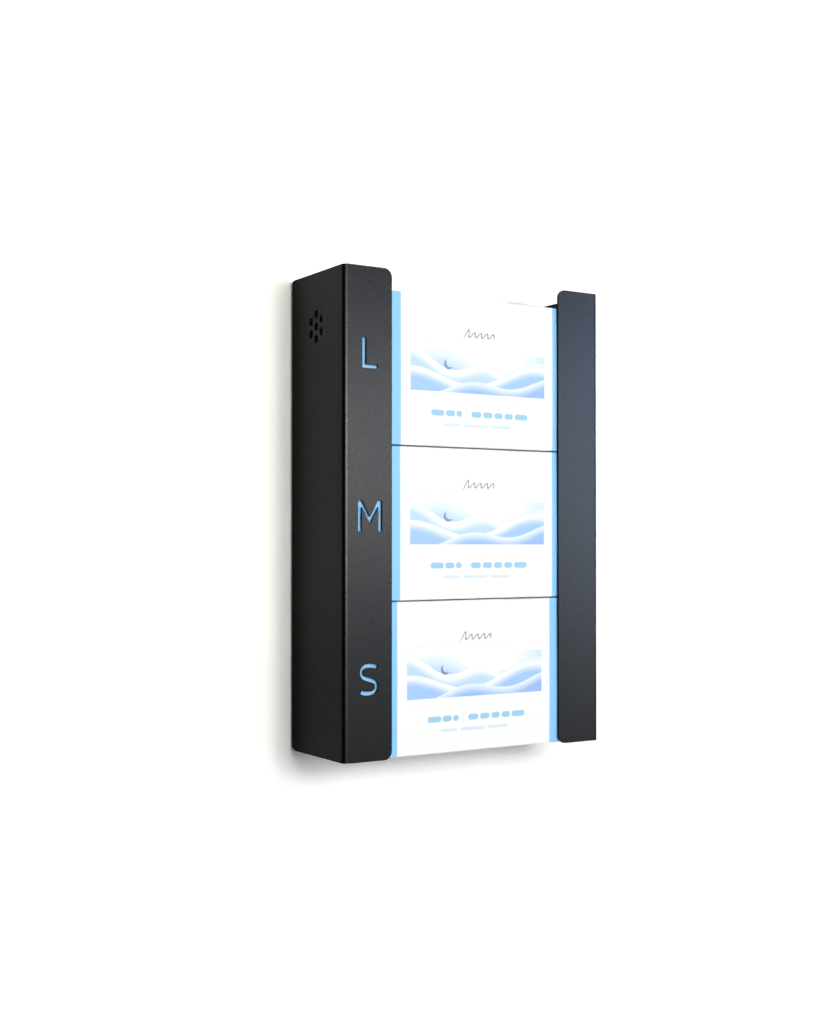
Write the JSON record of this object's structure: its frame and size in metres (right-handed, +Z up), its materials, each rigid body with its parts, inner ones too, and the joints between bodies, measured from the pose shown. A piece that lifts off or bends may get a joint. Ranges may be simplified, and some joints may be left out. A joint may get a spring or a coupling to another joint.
{
  "type": "disposable glove dispenser",
  "caption": "Wall-mounted folded steel holder, open at the front and top, with a stack of sealed cartons of disposable gloves standing on its shelf.",
  "frame": {"origin": "centre of the four wall screws, on the plane of the wall", "axes": "+X to the right seen from the front, +Y into the wall, +Z up"},
  "size_m": [0.257, 0.093, 0.394],
  "materials": {
    "black_powder_coat": "satin",
    "printed_card": "satin"
  },
  "bodies": {
    "root": {"holder": "black_powder_coat", "carton_small": "printed_card", "carton_medium": "printed_card", "carton_large": "printed_card"}
  },
  "joints": []
}
